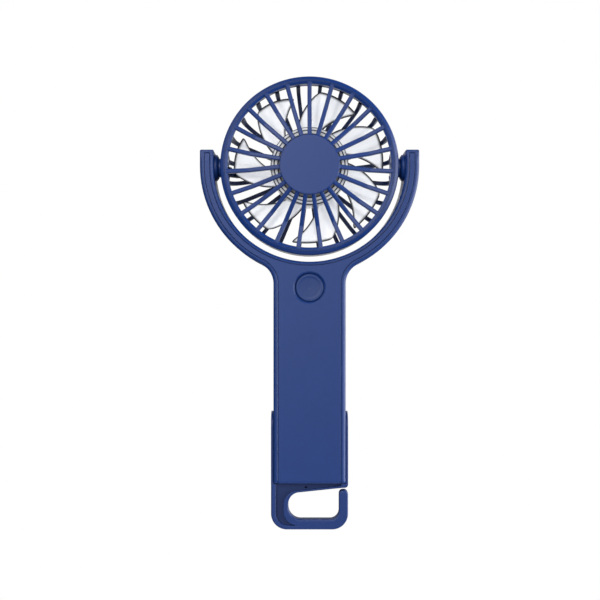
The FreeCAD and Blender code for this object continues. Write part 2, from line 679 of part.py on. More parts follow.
def motor_board():
    board_r, thick = 14.0, 1.0
    board = rod_y(board_r, MOTOR_BOARD_BACK - thick, MOTOR_BOARD_BACK)
    return board.cut(rod_y(TUBE_R, MOTOR_BOARD_BACK - thick - OVER, MOTOR_BOARD_BACK + OVER))


def motor_lead_head():
    """Lead through the left trunnion, back along the cage's wide rib and in to the motor's board."""
    start_x, wall_x, rib_x, board_x = -46.95, -36.8, -35.0, -12.2
    side_y, rib_y = 6.0, 17.2
    path = [(start_x, 0), (wall_x, 0), (wall_x, side_y), (rib_x, rib_y), (board_x, rib_y), (board_x, MOTOR_BOARD_BACK)]
    bend_radii = [1.5, 20.0, 2.0, 2.0]
    return tube_along(bent([V(x, y, PIVOT_Z) for x, y in path], bend_radii), LEAD_R)


# ---------- impeller ----------
def blade_section(r, lead_deg, trail_deg):
    """Closed curved section of one blade, in the plane square to the radius at its middle angle."""
    front_y, back_y, thick = -3.4, 8.6, 1.1
    belly, edge_share, count = 0.18, 0.35, 9
    middle = math.radians((lead_deg + trail_deg) / 2)
    outward = V(math.sin(middle), 0, math.cos(middle))
    clockwise = V(math.cos(middle), 0, -math.sin(middle))
    upper, lower = [], []
    for k in range(count):
        t = k / (count - 1)
        angle = math.radians(lead_deg + (trail_deg - lead_deg) * t) - middle
        y = front_y + (back_y - front_y) * (t - belly * math.sin(math.pi * t))
        half = thick / 2 * (edge_share + (1 - edge_share) * math.sin(math.pi * t))
        foot = V(0, 0, PIVOT_Z) + outward * r + clockwise * (r * math.sin(angle))
        upper.append(foot + V(0, y - half, 0))
        lower.append(foot + V(0, y + half, 0))
    top = Part.BSplineCurve()
    top.interpolate(upper)
    under = Part.BSplineCurve()
    under.interpolate(lower)
    return Part.Wire([top.toShape(), line(upper[-1], lower[-1]), under.toShape(), line(lower[0], upper[0])])


def blade():
    """Swept blade: its edges lean clockwise on the way out, and its outer corners are drawn in."""
    root_r, lead_deg, trail_deg, sweep_deg = 17.0, -20.5, 13.0, 28.0
    corners = [(0.0, 0.0), (0.3, 0.0), (0.6, 0.0), (0.8, 0.0), (0.93, 1.0), (1.02, 4.0)]
    sections = []
    for share, drawn_in in corners:
        r = root_r + (BLADE_TIP_R - root_r) * share
        turn = sweep_deg * share
        sections.append(blade_section(r, lead_deg + turn + drawn_in, trail_deg + turn - drawn_in))
    whole = Part.makeLoft(sections, True, False)
    front, back = -10.0, 15.0
    inside_r = root_r - 0.5
    return whole.common(rod_y(BLADE_TIP_R, front, back).cut(rod_y(inside_r, front - OVER, back + OVER)))


def impeller():
    """Hub cap over the rotor cup, with the blades on it."""
    front, back, edge = CUP_FRONT - 1.0, 9.0, 0.8
    hub = turned([
        (0, front), (IMPELLER_HUB_R - edge, front), (IMPELLER_HUB_R, front + edge), (IMPELLER_HUB_R, back),
        (CUP_R, back), (CUP_R, CUP_FRONT), (0, CUP_FRONT),
    ])
    return hub.fuse(around(blade(), BLADES)).cut(rod_y(CUP_R, CUP_FRONT, back + OVER))


def rotor_cup():
    """Cup that closes the motor's magnetic path, with the collar that grips the shaft."""
    floor_t, back, collar_r, collar_back = 0.7, 5.5, 3.5, -3.4
    floor = CUP_FRONT + floor_t
    return turned([
        (SHAFT_R, CUP_FRONT), (CUP_R, CUP_FRONT), (CUP_R, back), (CUP_IN_R, back), (CUP_IN_R, floor),
        (collar_r, floor), (collar_r, collar_back), (SHAFT_R, collar_back),
    ])


def ring_magnet():
    front, back, bore_r = -3.5, 4.5, 13.6
    return rod_y(CUP_IN_R, front, back).cut(rod_y(bore_r, front - OVER, back + OVER))


def motor_shaft():
    """Shaft with the groove for its clip near the rear end."""
    end = 16.0
    groove = rod_y(SHAFT_R + OVER, *SHAFT_CLIP_Y).cut(rod_y(SHAFT_CLIP_R, CUP_FRONT, end))
    return rod_y(SHAFT_R, CUP_FRONT, end).cut(groove)


def shaft_clip():
    clip_r, gap = 2.5, 0.01
    front, back = SHAFT_CLIP_Y
    return rod_y(clip_r, front + gap, back - gap).cut(rod_y(SHAFT_CLIP_R, front - OVER, back + OVER))


# ---------- hook bracket ----------
def rounded_loop(points, radii):
    """Closed wire in the XZ plane with a given radius at each corner."""
    edges = []
    count = len(points)
    joints = []
    for k in range(count):
        here = V(points[k][0], 0, points[k][1])
        before = V(points[k - 1][0], 0, points[k - 1][1]) - here
        after = V(points[(k + 1) % count][0], 0, points[(k + 1) % count][1]) - here
        before.normalize()
        after.normalize()
        half = before.getAngle(after) / 2
        cut = radii[k] / math.tan(half)
        toward = (before + after).normalize()
        mid = here + toward * (radii[k] / math.sin(half) - radii[k])
        joints.append((here + before * cut, mid, here + after * cut))
    for k in range(count):
        a, mid, b = joints[k]
        if radii[k] > 0:
            edges.append(Part.Arc(a, mid, b).toShape())
        edges.append(line(b, joints[(k + 1) % count][0]))
    return Part.Wire(edges)


def hook_plate():
    """Plate in front with the open hook cut out of it, its edges rounded."""
    w = EAR_OUT
    loop = [
        (-w, WEB_TOP), (-w, HOOK_BOTTOM), (w, HOOK_BOTTOM), (w, -49.35), (13.55, -49.35),
        (13.55, -62.7), (-9.75, -62.7), (-9.75, -50.85), (w, -47.97), (w, WEB_TOP),
    ]
    corner_radii = [0, 7.3, 7.3, 1.9, 1.9, 4.1, 5.8, 5.2, 1.6, 0]
    plate = slab(rounded_loop(loop, corner_radii), HOOK_FRONT, HOOK_FRONT + HOOK_T)

    def outline_edge(e):
        return e.BoundBox.YLength < 0.01 and e.BoundBox.ZMin < WEB_TOP - 0.1

    return plate.makeFillet(HOOK_EDGE_R, edges_where(plate, outline_edge))


def hook_pocket():
    """Shallow recess in the plate's front, left of the hook's eye and above it."""
    top = WEB_TOP + OVER
    loop = [(-15.5, top), (-15.5, -65.2), (-5.4, -65.6), (-12.0, -64.2), (-12.0, -50.2), (14.6, -47.35), (14.6, top)]
    corner_radii = [0, 5.4, 0, 6.5, 6.5, 0, 0]
    return slab(rounded_loop(loop, corner_radii), HOOK_FRONT - OVER, HOOK_FRONT + POCKET_DEPTH)


def hook_bracket():
    """Plate and web below the handle, and the two ears that hinge on the pins."""
    w = EAR_OUT
    web = box(-w, w, HOOK_FRONT, -HOOK_FRONT, WEB_TOP - WEB_T, WEB_TOP)
    web_edge_r = 1.6
    lower_edges = edges_where(web, lambda e: e.BoundBox.ZMax < WEB_TOP - 1 and e.BoundBox.YLength > HOOK_T)
    web = web.makeFillet(web_edge_r, lower_edges)
    ears = []
    for side in (-1, 1):
        x0, x1 = sorted((side * EAR_IN, side * w))
        ear = box(x0, x1, -EAR_R, EAR_R, WEB_TOP - 0.1, HINGE_Z).fuse(rod_x(EAR_R, x0, x1, 0, HINGE_Z))
        ears.append(ear.removeSplitter())
    bracket = hook_plate().fuse([web] + ears).removeSplitter()
    strap_r, strap_x, strap_z, strap_depth = 0.5, -1.6, -48.1, 3.0
    cuts = [hook_pocket(), rod_y(strap_r, HOOK_FRONT - OVER, HOOK_FRONT + strap_depth, strap_x, strap_z)]
    counterbore_r, counterbore_x = 2.5, 17.15
    for side in (-1, 1):
        beyond = side * (EAR_OUT + OVER)
        cuts.append(rod_x(HINGE_PIN_R + PIN_CLEAR, side * (EAR_IN - OVER), beyond, 0, HINGE_Z))
        cuts.append(rod_x(counterbore_r, side * counterbore_x, beyond, 0, HINGE_Z))
    return bracket.cut(cuts)


NODES = {
    "rear_shell": rear_shell,
    "front_cover": front_cover,
    "shell_screws": shell_screws,
    "pivot_bushes": pivot_bushes,
    "battery": battery,
    "battery_pad": battery_pad,
    "battery_leads": battery_leads,
    "main_board": main_board,
    "board_chips": board_chips,
    "tact_switch": tact_switch,
    "usb_c_socket": usb_c_socket,
    "charge_led": charge_led,
    "motor_lead_yoke": motor_lead_yoke,
    "stand_pins": stand_pins,
    "power_button": power_button,
    "switch_plunger": switch_plunger,
    "front_grille": front_grille,
    "head_ring": head_ring,
    "rear_cage": rear_cage,
    "rear_grille": rear_grille,
    "trunnion_left": lambda: mirrored_x(trunnion(1.0)),
    "trunnion_right": lambda: trunnion(0.0),
    "trunnion_clips": trunnion_clips,
    "bearing_tube": bearing_tube,
    "bearing_front": lambda: bearing(FRONT_BEARING),
    "bearing_rear": lambda: bearing(REAR_BEARING),
    "stator_core": stator_core,
    "stator_coils": stator_coils,
    "motor_board": motor_board,
    "motor_lead_head": motor_lead_head,
    "impeller": impeller,
    "rotor_cup": rotor_cup,
    "ring_magnet": ring_magnet,
    "motor_shaft": motor_shaft,
    "shaft_clip": shaft_clip,
    "hook_bracket": hook_bracket,
}

os.makedirs("parts", exist_ok=True)
for name, make in NODES.items():
    shape = make()
    shape.exportStep("parts/" + name + ".step")
    print(name, len(shape.Solids), "solid(s)", round(shape.Volume, 1), "mm3", "valid" if shape.isValid() else "INVALID")
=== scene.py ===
# %% [markdown]
# # A hand-held electric fan, finished in Blender
# The fan's hard parts come from a CAD model: every casing, spoke, pin and coil is already the right size and
# already hangs on the right moving body. This lesson gives those parts their surfaces, makes anew the piece
# that a CAD kernel makes poorly, and lights the result like a small studio product.
#
# Everything is in metres. +Z is up, the fan blows towards -Y, and +X is to the right seen from the front.

# %% Load the fixed model
import json
import math

import bpy
import numpy as np
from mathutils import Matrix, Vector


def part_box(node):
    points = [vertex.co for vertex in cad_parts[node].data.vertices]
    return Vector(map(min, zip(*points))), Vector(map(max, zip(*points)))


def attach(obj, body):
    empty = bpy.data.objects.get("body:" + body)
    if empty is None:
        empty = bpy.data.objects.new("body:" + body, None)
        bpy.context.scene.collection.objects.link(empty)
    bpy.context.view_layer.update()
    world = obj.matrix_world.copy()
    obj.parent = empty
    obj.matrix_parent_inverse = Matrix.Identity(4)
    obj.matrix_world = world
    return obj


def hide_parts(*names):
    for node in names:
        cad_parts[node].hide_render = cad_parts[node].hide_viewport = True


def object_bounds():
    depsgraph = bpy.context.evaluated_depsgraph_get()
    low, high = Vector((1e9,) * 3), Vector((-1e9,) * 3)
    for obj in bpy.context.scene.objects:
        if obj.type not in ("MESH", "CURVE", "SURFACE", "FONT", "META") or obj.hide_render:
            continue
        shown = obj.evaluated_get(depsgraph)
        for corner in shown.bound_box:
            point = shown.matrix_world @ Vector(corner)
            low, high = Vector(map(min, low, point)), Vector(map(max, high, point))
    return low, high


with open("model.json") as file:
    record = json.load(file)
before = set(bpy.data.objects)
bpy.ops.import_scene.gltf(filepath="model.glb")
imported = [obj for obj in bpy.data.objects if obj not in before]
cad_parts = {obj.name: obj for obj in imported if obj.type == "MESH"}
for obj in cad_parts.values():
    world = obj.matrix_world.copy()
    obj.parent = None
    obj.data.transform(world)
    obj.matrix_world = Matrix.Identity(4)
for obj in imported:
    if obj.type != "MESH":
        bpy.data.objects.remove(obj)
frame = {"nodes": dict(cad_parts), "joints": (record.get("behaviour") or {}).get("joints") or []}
cad_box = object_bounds()
MM = 0.001
print("CAD box (m):", [[round(v, 4) for v in corner] for corner in cad_box])

# %% [markdown]
# ## Where things are
# A piece that is added later has to sit exactly on the CAD parts. So its place is read from them: the tilt
# axis gives the head's centre, and the boxes of the cover and the hook bracket give their front faces.

# %% Places read from the model
tilt_axis = next(j for j in frame["joints"] if j["name"] == "head_tilt")["pos_m"]
hub_x, hub_y, hub_z = tilt_axis
cover_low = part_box("front_cover")[0]
hook_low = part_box("hook_bracket")[0]
print("tilt axis at z =", round(hub_z, 4), " cover face at y =", round(cover_low.y, 4))

# %% [markdown]
# ## Writing shaders as sums
# A moulded surface is a few noises added and multiplied: a mask times a colour, a grain minus a half. Wiring
# that by hand takes dozens of nodes. `Shade` wraps one socket, so that `1 - mask` or `grain * 0.2` adds the
# Math node by itself. Every other kind of node comes from `node`, which sets the node's settings first and
# then fills its sockets with numbers or links.

# %% A socket that can be added and multiplied
# The Mix node has a set of sockets for each kind of data. These are the places of the colour ones.
MIX_FACTOR, MIX_FIRST, MIX_SECOND, MIX_RESULT = 0, 6, 7, 2


class Shade:
    """One socket of a node tree. Arithmetic on it adds Math nodes to the same tree."""

    def __init__(self, tree, socket=None):
        self.tree = tree
        self.socket = socket

    def node(self, kind, settings=None, inputs=None, output=0):
        """Adds a node: its settings are set first, and then its sockets get values or links."""
        made = self.tree.nodes.new(kind)
        for key, value in (settings or {}).items():
            setattr(made, key, value)
        for key, value in (inputs or {}).items():
            if isinstance(value, Shade):
                self.tree.links.new(value.socket, made.inputs[key])
            else:
                made.inputs[key].default_value = value
        return Shade(self.tree, made.outputs[output])

    def other(self, output):
        """Another output of the node that this socket belongs to."""
        return Shade(self.tree, self.socket.node.outputs[output])

    def math(self, operation, a, b):
        return self.node("ShaderNodeMath", {"operation": operation}, {0: a, 1: b})

    def vector_math(self, operation, *vectors):
        """A number worked out from vectors, such as a dot product or a length."""
        return self.node("ShaderNodeVectorMath", {"operation": operation}, dict(enumerate(vectors)), "Value")

    def __add__(self, other):
        return self.math("ADD", self, other)

    def __sub__(self, other):
        return self.math("SUBTRACT", self, other)

    def __rsub__(self, other):
        return self.math("SUBTRACT", other, self)

    def __mul__(self, other):
        return self.math("MULTIPLY", self, other)

    __radd__ = __add__
    __rmul__ = __mul__

    def ramp(self, low, high, slope="LINEAR"):
        """0 below low and 1 above high. The slope between is even, or rounded with SMOOTHSTEP."""
        values = {"Value": self, "From Min": low, "From Max": high}
        return self.node("ShaderNodeMapRange", {"clamp": True, "interpolation_type": slope}, values)

    def blend(self, first, second):
        """Colour that goes from first to second as this socket goes from 0 to 1."""
        values = {MIX_FACTOR: self, MIX_FIRST: first, MIX_SECOND: second}
        return self.node("ShaderNodeMix", {"data_type": "RGBA"}, values, MIX_RESULT)


print("shader helper ready")

# %% [markdown]
# ## One start for every finish
# Each finish begins with the same three nodes: where the point is on the piece, a Principled shader and the
# output. Object coordinates are used, because they keep a grain the same size on every piece, and because
# they stay put when a body moves.

# %% Start a finish
def rgba(red, green, blue):
    return (red, green, blue, 1.0)


WHITE, BLACK = rgba(1.0, 1.0, 1.0), rgba(0.0, 0.0, 0.0)


def start(name):
    """A new material, its object coordinates, and its Principled node."""
    material = bpy.data.materials.new(name)
    material.use_nodes = True
    tree = material.node_tree
    tree.nodes.clear()
    place = Shade(tree).node("ShaderNodeTexCoord", output="Object")
    body = tree.nodes.new("ShaderNodeBsdfPrincipled")
    out = tree.nodes.new("ShaderNodeOutputMaterial")
    tree.links.new(body.outputs[0], out.inputs["Surface"])
    return material, place, body


def feed(body, **sockets):
    """Links Shades and sets plain values on the Principled node; an underscore stands for a space."""
    for key, value in sockets.items():
        socket = body.inputs[key.replace("_", " ")]
        if isinstance(value, Shade):
            value.tree.links.new(value.socket, socket)
        else:
            socket.default_value = value


def noise(place, size_mm, detail=2.0):
    """Soft noise from 0 to 1 whose lumps are about size_mm across."""
    values = {"Vector": place, "Scale": 1.0 / (size_mm * MM), "Detail": detail}
    return place.node("ShaderNodeTexNoise", {}, values)


def stretched(place, scale, turn=(0.0, 0.0, 0.0)):
    """Coordinates scaled and then turned. A scale below 1 draws a noise out along that axis."""
    return place.node("ShaderNodeMapping", {}, {"Vector": place, "Rotation": turn, "Scale": scale})


def bumped(place, height, distance_mm, normal=None):
    """Normal of a surface raised by height times distance_mm."""
    values = {"Height": height, "Distance": distance_mm * MM, "Strength": 1.0}
    if normal is not None:
        values["Normal"] = normal
    return place.node("ShaderNodeBump", {}, values)


print("finishes start with object coordinates, in metres")

# %% [markdown]
# ## Matte navy plastic
# The casings are injection-moulded in one dark blue. Up close such a part isn't one colour: the mould has a
# fine spark-eroded grain, the pigment drifts a little over a few centimetres, handling polishes the edges a
# touch lighter, and a few hairline scuffs catch the light. Edges on a moulded part are never knife-sharp
# either, so the normal is taken from a Bevel node, which rounds them by a fraction of a millimetre. How far
# that rounded normal leans from the surface's own also says where the edges are, and there the wear goes.

# %% The navy finish
DRIFT_MM, MOTTLE_MM, GRAIN_MM, SCUFF_MM = 16.0, 1.3, 0.22, 0.35
DRIFT_WEIGHT, MOTTLE_WEIGHT = 0.6, 0.4    # how much each says between the dark and the base colour
EDGE_LEAN = (0.01, 0.16)                  # 1 - cosine of the lean: where an edge starts, and where it is full
SCUFF_SCALE, SCUFF_TURN = (1.0, 1.0, 0.03), (0.0, 0.6, 0.0)
SCUFF_PEAKS, SCUFF_DEPTH = (0.80, 0.86), 0.6          # the depth is a share of the grain's height
MOTTLE_DULL, EDGE_POLISH, SCUFF_POLISH = 0.10, 0.06, 0.12     # changes of the roughness
WORN_GAIN, WORN_LIFT, WORN_SHARE = 1.25, 0.012, 0.3
# Painted shade in the hook's recess: where it fades out at the top, its darkness, its share, and extra
# roughness.
RECESS_SHADE_FADE, RECESS_SHADE_GAIN, RECESS_SHADE_SHARE, RECESS_DULL = 0.3 * MM, 0.3, 0.55, 0.3


def scaled(colour, gain, lift=0.0):
    return rgba(*(min(1.0, c * gain + lift) for c in colour[:3]))


def navy(name, base, dark, shine=0.36, grain_height=0.010, edge_mm=0.7, recess_shade=None):
    """Moulded blue plastic: pigment drift, spark grain, polished edges and fine scuffs. The last argument says
    where a recess is painted with shade and made rougher: (y where it starts, y where it is full, z of its
    upper end)."""
    material, place, body = start(name)
    drift = noise(place, DRIFT_MM, 3.0)
    mottle = noise(place, MOTTLE_MM)
    grain = noise(place, GRAIN_MM, 1.0)
    rounded = place.node("ShaderNodeBevel", {"samples": 4}, {"Radius": edge_mm * MM})
    own = place.node("ShaderNodeNewGeometry", output="Normal")
    lean = 1.0 - rounded.vector_math("DOT_PRODUCT", rounded, own)
    edge = lean.ramp(*EDGE_LEAN) * mottle.ramp(0.35, 0.7)
    scratches = noise(stretched(place, SCUFF_SCALE, SCUFF_TURN), SCUFF_MM, 1.0)
    scuff = scratches.ramp(*SCUFF_PEAKS) * drift.ramp(0.5, 0.7)
    shade = drift.ramp(0.25, 0.75) * DRIFT_WEIGHT + mottle.ramp(0.3, 0.7) * MOTTLE_WEIGHT
    colour = (edge * WORN_SHARE).blend(shade.blend(dark, base), scaled(base, WORN_GAIN, WORN_LIFT))
    rough = shine + MOTTLE_DULL * mottle.ramp(0.2, 0.8) - EDGE_POLISH * edge - SCUFF_POLISH * scuff
    # Painted shade: the colour darkens towards the recess floor, where shade falls, and the roughness rises.
    if recess_shade:
        start_y, full_y, upper_z = recess_shade
        y = place.node("ShaderNodeSeparateXYZ", {}, {0: place}, "Y")
        deep = y.ramp(start_y, full_y) * (1.0 - y.other("Z").ramp(upper_z - RECESS_SHADE_FADE, upper_z))
        colour = (deep * RECESS_SHADE_SHARE).blend(colour, scaled(dark, RECESS_SHADE_GAIN))
        rough = rough + RECESS_DULL * deep
    height = grain - SCUFF_DEPTH * scuff
    feed(body, Base_Color=colour, Roughness=rough, Normal=bumped(place, height, grain_height, rounded))
    feed(body, IOR=1.5, Specular_IOR_Level=0.5)
    return material


CASE_BLUE, CASE_DARK = rgba(0.0050, 0.041, 0.212), rgba(0.0040, 0.035, 0.187)
HEAD_BLUE, HEAD_DARK = rgba(0.0045, 0.041, 0.222), rgba(0.0035, 0.035, 0.196)
# Painted shade: the cage's navy is the head's navy darkened to about two fifths, for the shadow behind the
# blades.
CAGE_SHADED_BLUE, CAGE_SHADED_DARK = rgba(0.0025, 0.016, 0.085), rgba(0.0020, 0.012, 0.068)
HOOK_BLUE, HOOK_DARK = rgba(0.0075, 0.040, 0.196), rgba(0.0060, 0.034, 0.176)
BUTTON_BLUE, BUTTON_DARK = rgba(0.0065, 0.040, 0.190), rgba(0.0050, 0.034, 0.170)
# The hook's recess gets painted shade: from 0.5 to 1.3 mm behind the hook's face, up to just below the cover.
hook_recess_shade = (hook_low.y + 0.5 * MM, hook_low.y + 1.3 * MM, cover_low.z - 0.2 * MM)

navy_case = navy("navy_case", CASE_BLUE, CASE_DARK, edge_mm=1.1)
navy_cover = navy("navy_cover", CASE_BLUE, CASE_DARK, edge_mm=0.4)
navy_head = navy("navy_head", HEAD_BLUE, HEAD_DARK, shine=0.28, grain_height=0.003)
# The rear cage and rear grille wear this darkened copy of the navy as painted shade.
navy_cage = navy("navy_cage", CAGE_SHADED_BLUE, CAGE_SHADED_DARK, shine=0.50, grain_height=0.006)
navy_hook = navy("navy_hook", HOOK_BLUE, HOOK_DARK, shine=0.34, recess_shade=hook_recess_shade)
navy_button = navy("navy_button", BUTTON_BLUE, BUTTON_DARK, shine=0.40, edge_mm=0.35)
print("navy finishes:", [m.name for m in (navy_case, navy_cover, navy_head, navy_cage, navy_hook, navy_button)])

# %% [markdown]
# ## Metals
# The fan holds steel screws, pins, clips and bearings, a pressed steel rotor cup, a brass tube, copper
# windings and a ferrite ring. A turned or drawn metal has fine lines along the way it was cut, and its
# plating varies in dullness, so they share one function: colour, dullness, and lines stretched along an axis.

# %% Metal finishes
LINES_IN_Y, LINES_IN_Z, NO_LINES = (1.0, 0.04, 1.0), (1.0, 1.0, 0.08), (1.0, 1.0, 1.0)
LINE_HEIGHT_MM, LINE_DULL = 0.004, 0.12
BLOTCH_MM, BLOTCH_DULL, TARNISH_SHARE = 2.5, 0.15, 0.6


def metal(name, colour, tarnish, shine=0.28, along=LINES_IN_Y, line_mm=0.12):
    """Worked metal: tool lines stretched along one axis, and blotches of tarnish."""
    material, place, body = start(name)
    lines = noise(stretched(place, along), line_mm)
    blotch = noise(place, BLOTCH_MM, 3.0)
    tone = blotch.ramp(0.45, 0.75) * TARNISH_SHARE
    rough = shine + LINE_DULL * lines + BLOTCH_DULL * blotch.ramp(0.4, 0.8)
    feed(body, Base_Color=tone.blend(colour, tarnish), Roughness=rough, Metallic=1.0)
    feed(body, Normal=bumped(place, lines, LINE_HEIGHT_MM))
    return material


plated_steel = metal("plated_steel", rgba(0.56, 0.57, 0.59), rgba(0.40, 0.39, 0.37))
brass_tube = metal("brass_tube", rgba(0.72, 0.52, 0.22), rgba(0.50, 0.34, 0.14))
copper_wire = metal("copper_wire", rgba(0.72, 0.27, 0.10), rgba(0.45, 0.15, 0.06), 0.22, LINES_IN_Z, 0.15)
ferrite = metal("ferrite", rgba(0.10, 0.10, 0.105), rgba(0.06, 0.058, 0.055), 0.60, NO_LINES, 0.3)
print("metals ready")

# %% [markdown]
# ## The hidden materials
# Nothing inside the handle shows while the fan is closed, but a part that is taken out of its case should
# still look like what it is: green solder mask with tracks under it, black moulded chips, a foil pouch cell,
# grey foam and silicone-covered wire. Each needs only two or three noises.

# %% Electrical and soft finishes
TRACKS_PER_M, VIAS_PER_M, CREASES_PER_M = 260.0, 420.0, 130.0
VIA_RADIUS = (0.10, 0.16)        # full inside the first, gone beyond the second, in cells of the pattern


def board_mask(name):
    """Green solder mask: straight tracks show as lighter bands, with a bright speckle of vias."""
    material, place, body = start(name)
    upright = stretched(place, (1.0, 1.0, 1.0), (math.pi / 2, 0.0, 0.0))
    brick = {"Vector": upright, "Scale": TRACKS_PER_M, "Mortar Size": 0.03, "Mortar": rgba(0.006, 0.075, 0.03)}
    brick.update({"Color1": rgba(0.010, 0.11, 0.045), "Color2": rgba(0.018, 0.16, 0.065)})
    tracks = place.node("ShaderNodeTexBrick", {"offset": 0.37}, brick)
    vias = place.node("ShaderNodeTexVoronoi", {}, {"Vector": place, "Scale": VIAS_PER_M})
    dots = 1.0 - vias.ramp(*VIA_RADIUS)
    feed(body, Base_Color=dots.blend(tracks, rgba(0.55, 0.50, 0.36)), Roughness=0.25 + 0.2 * noise(place, 1.0))
    feed(body, Normal=bumped(place, dots, 0.02))
    return material


def moulded(name, colour, other, shine=0.5, grain_mm=0.3, height_mm=0.01, lump_mm=3.0):
    """A plain moulded or cast stuff: two tones in soft lumps under a fine grain."""
    material, place, body = start(name)
    lumps = noise(place, lump_mm, 3.0)
    rough = shine + 0.15 * lumps
    feed(body, Base_Color=lumps.ramp(0.3, 0.7).blend(colour, other), Roughness=rough)
    feed(body, Normal=bumped(place, noise(place, grain_mm), height_mm))
    return material


def foil_pouch(name):
    """Foil cell wrap: slightly crumpled silver film."""
    material, place, body = start(name)
    cells = {"Vector": place, "Scale": CREASES_PER_M}
    creases = place.node("ShaderNodeTexVoronoi", {"feature": "DISTANCE_TO_EDGE"}, cells)
    soft = noise(place, 6.0, 3.0)
    feed(body, Base_Color=soft.blend(rgba(0.62, 0.63, 0.66), rgba(0.48, 0.49, 0.52)), Metallic=0.9)
    feed(body, Roughness=0.28 + 0.25 * soft)
    feed(body, Normal=bumped(place, creases.ramp(0.0, 0.25) + soft * 0.5, 0.05))
    return material


green_board = board_mask("green_board")
black_mould = moulded("black_mould", rgba(0.018, 0.018, 0.020), rgba(0.030, 0.030, 0.032))
grey_foam = moulded("grey_foam", rgba(0.06, 0.06, 0.065), rgba(0.10, 0.10, 0.105), 0.8, 0.5, 0.15, 0.9)
black_lead = moulded("black_lead", rgba(0.012, 0.012, 0.013), rgba(0.022, 0.022, 0.024), 0.42, 0.4)
milky_lens = moulded("milky_lens", rgba(0.80, 0.81, 0.78), rgba(0.70, 0.72, 0.70), 0.3, 0.4, 0.004)
silver_pouch = foil_pouch("silver_pouch")
print("inner finishes ready")

# %% [markdown]
# ## Clear blades
# The impeller is moulded in clear plastic. Seen against a pale room it is nearly as white as the air behind
# it, except at its edges, where light is trapped in the sheet and a thin dark line shows. A pure glass shader
# is too clean: real moulded blades are faintly milky and scatter light. So the body is partly clear and partly
# white, with a faint painted glow that stands for the scattered light. Its index is low, because a thin sheet
# hardly bends what is seen through it. The piece carries its own attribute, `rim`, which is 1 in a narrow band
# along each edge. There that dark line is painted into the colour as painted shade, and the painted glow is
# off.

# %% The clear plastic finish
# The rim colour is painted shade: the thin dark line where light is trapped at a clear edge.
MILKY, CLOUDY, RIM_SHADE = rgba(0.985, 0.99, 1.0), rgba(0.95, 0.965, 0.985), rgba(0.030, 0.038, 0.060)
CLOUD_MM, FLOW_MM = 7.0, 5.0
# The glow is painted light, standing for the light that the milky sheet scatters.
PAINTED_GLOW, CLEAR_SHARE, SHEET_INDEX = 0.22, 0.45, 1.20


def clear_blade(name):
    """Milky clear plastic with a painted glow, and painted shade where the piece's own rim attribute is 1."""
    material, place, body = start(name)
    rim = place.node("ShaderNodeAttribute", {"attribute_name": "rim"}, output="Fac")
    flow = noise(place, FLOW_MM, 1.0)
    milky = noise(place, CLOUD_MM).ramp(0.2, 0.8).blend(MILKY, CLOUDY)
    feed(body, Base_Color=rim.blend(milky, RIM_SHADE), Roughness=0.15 + 0.10 * flow)
    feed(body, Emission_Color=rim.blend(milky, BLACK), Emission_Strength=PAINTED_GLOW)
    feed(body, Transmission_Weight=CLEAR_SHARE, IOR=SHEET_INDEX, Normal=bumped(place, flow, 0.02))
    return material


clear_plastic = clear_blade("clear_plastic")
print("clear plastic ready")

# %% [markdown]
# ## Blades as surfaces of two parameters
# A fan blade is a curved, twisted sheet. It is made as a grid: `u` runs from the hub to the tip and `v` from
# the leading edge to the trailing edge. Each grid point gets a radius from `u`, a turn about the axle from both
# (the blade leans clockwise on its way out), and a place along the axle from `v`. A second copy of the grid, a
# blade's thickness behind the first, and a strip round their common edge close it into a solid.

# %% Grid helpers
def grid_faces(rows, columns, first=0, flip=False):
    """Quads of a grid of rows by columns points, numbered row by row from first."""
    index = first + np.arange(rows * columns).reshape(rows, columns)
    corners = [index[:-1, :-1], index[:-1, 1:], index[1:, 1:], index[1:, :-1]]
    quads = np.stack(corners, axis=-1).reshape(-1, 4)
    return quads[:, ::-1] if flip else quads


def edge_loop(rows, columns):
    """Indices of a grid's outer points, once round."""
    index = np.arange(rows * columns).reshape(rows, columns)
    return np.concatenate([index[0, :-1], index[:-1, -1], index[-1, :0:-1], index[:0:-1, 0]])


def piece(name, points, faces, body, finish):
    """A finished mesh object at the origin, smooth, in its material, riding on its body."""
    mesh = bpy.data.meshes.new(name)
    mesh.from_pydata(np.asarray(points).reshape(-1, 3).tolist(), [], [list(map(int, f)) for f in faces])
    mesh.validate()
    mesh.polygons.foreach_set("use_smooth", np.full(len(mesh.polygons), True))
    made = bpy.data.objects.new(name, mesh)
    bpy.context.scene.collection.objects.link(made)
    made.data.materials.append(finish)
    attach(made, body)
    return made


print("grid helpers ready")

# %% [markdown]
# ## The impeller
# The hub is one profile turned about the axle. The seven blades are the same grid turned seven times. They are
# joined into one mesh, as one moulding, and the `rim` attribute is filled from how near each grid point lies
# to the blade's edge. On the hub it comes from the profile's table: painted shade on the rings, lip and disc.

# %% Make the clear impeller
BLADE_COUNT, BLADE_ROWS, BLADE_COLUMNS = 7, 44, 34
BLADE_ROOT_R = 17.0 * MM
BLADE_TIP_R = 35.2 * MM
BLADE_REACH = BLADE_TIP_R - BLADE_ROOT_R
BLADE_LEAN = math.radians(28.0)
BLADE_START = math.radians(-20.5)
BLADE_SPAN = math.radians(33.5)
BLADE_FRONT = hub_y - 3.4 * MM
BLADE_DEPTH = 12.0 * MM
BLADE_BULGE = 0.18               # share of the depth
BLADE_THICK = 1.1 * MM
EDGE_THICK, TIP_THINNING = 0.30, 0.35
CORNER_U, CORNER_CUT = 0.86, 0.15    # the tip's corners start at this u and take this share of the span
ROW_POWER = 0.85                 # below 1, rows lie closer together near the tip
RIM_WIDTH = 0.80 * MM
RIM_FULL = 1.6                   # the rim is full up to RIM_FULL - 1 widths from the edge, and gone at RIM_FULL
HUB_STEPS = 144
